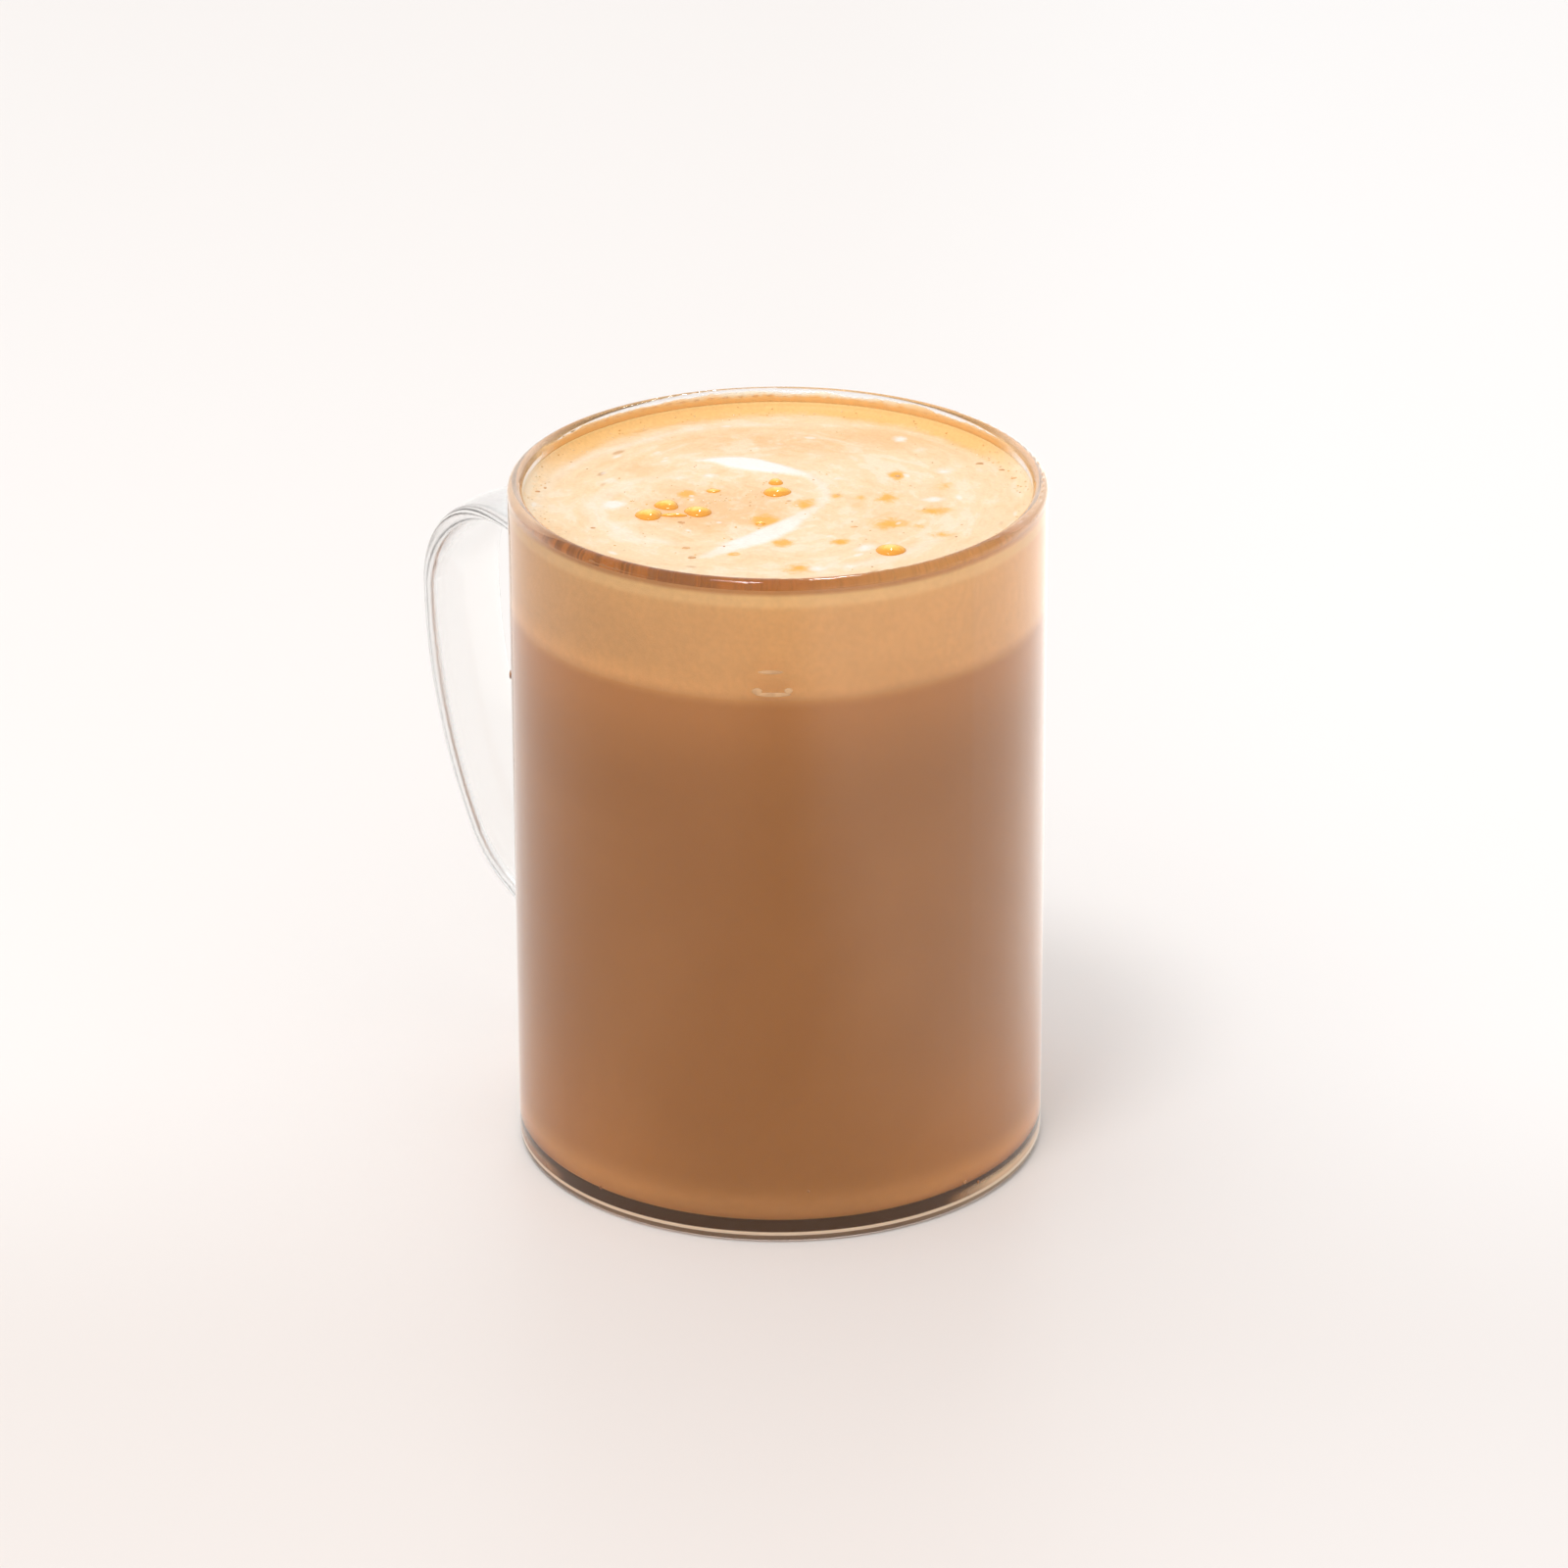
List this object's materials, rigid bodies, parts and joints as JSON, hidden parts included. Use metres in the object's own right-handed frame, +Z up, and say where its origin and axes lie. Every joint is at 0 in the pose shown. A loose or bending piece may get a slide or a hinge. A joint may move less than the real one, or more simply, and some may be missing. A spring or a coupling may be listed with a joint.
{
  "type": "zebra mocha in a clear glass mug",
  "caption": "Milky chocolate coffee with a foam cap and a milk swirl, in a straight clear glass mug with a strap handle.",
  "frame": {"origin": "middle of the mug's flat base, on the axis of the straight wall", "axes": "+Z up along the mug's axis; the handle points along -X; +Y across the handle"},
  "size_m": [0.112, 0.08, 0.106],
  "materials": {
    "clear_glass": "clear, polished",
    "mocha_drink": "opaque milky coffee, smooth",
    "milk_foam": "fine milk foam, satin, with bubbles and a white swirl"
  },
  "bodies": {
    "root": {"mug_glass": "clear_glass", "mocha": "mocha_drink", "milk_foam": "milk_foam"}
  },
  "joints": []
}
